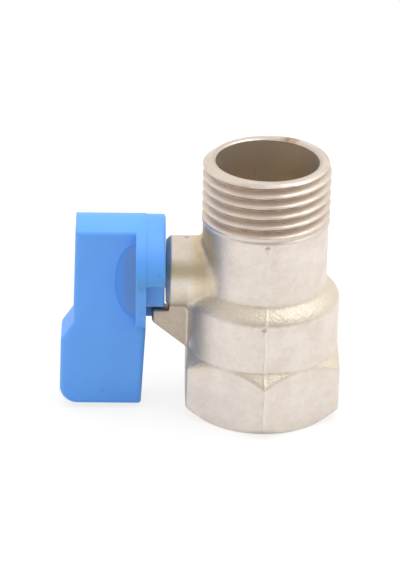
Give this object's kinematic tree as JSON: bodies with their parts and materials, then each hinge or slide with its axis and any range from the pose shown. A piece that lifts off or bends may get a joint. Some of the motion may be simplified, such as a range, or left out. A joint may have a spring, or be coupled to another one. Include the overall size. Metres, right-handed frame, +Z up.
{
  "type": "mini ball valve",
  "caption": "Compact quarter-turn ball valve: nickel-plated forged body with female and male pipe threads, hexagon for a spanner, and a blue moulded lever on a side stem.",
  "frame": {"origin": "centre of the female end face, on the pipe axis", "axes": "+Z up the pipe axis to the male mouth, -X out along the stem to the handle, -Y the side that the picture shows"},
  "size_m": [0.0464, 0.0292, 0.044],
  "materials": {
    "nickel_plated_brass": "satin nickel plate over shot-blasted forged brass",
    "chromed_brass": "polished chrome plate",
    "ptfe": "white PTFE, satin",
    "plain_brass": "turned brass",
    "nitrile_rubber": "matt black",
    "blue_plastic": "light blue moulded plastic, satin",
    "zinc_plated_steel": "bright zinc plate"
  },
  "bodies": {
    "valve_body": {"body": "nickel_plated_brass", "lower_seat": "ptfe", "upper_seat": "ptfe", "seat_retainer": "plain_brass", "stem_thrust_washer": "ptfe"},
    "lever_group": {"handle": "blue_plastic", "handle_screw": "zinc_plated_steel", "stem": "plain_brass", "inner_o_ring": "nitrile_rubber", "outer_o_ring": "nitrile_rubber", "ball": "chromed_brass"}
  },
  "joints": [
    {"name": "handle_turn", "type": "hinge", "parent": "valve_body", "child": "lever_group", "pos_m": [0, 0, 0.0238], "axis": [1, 0, 0], "range_deg": [0, 90]}
  ]
}
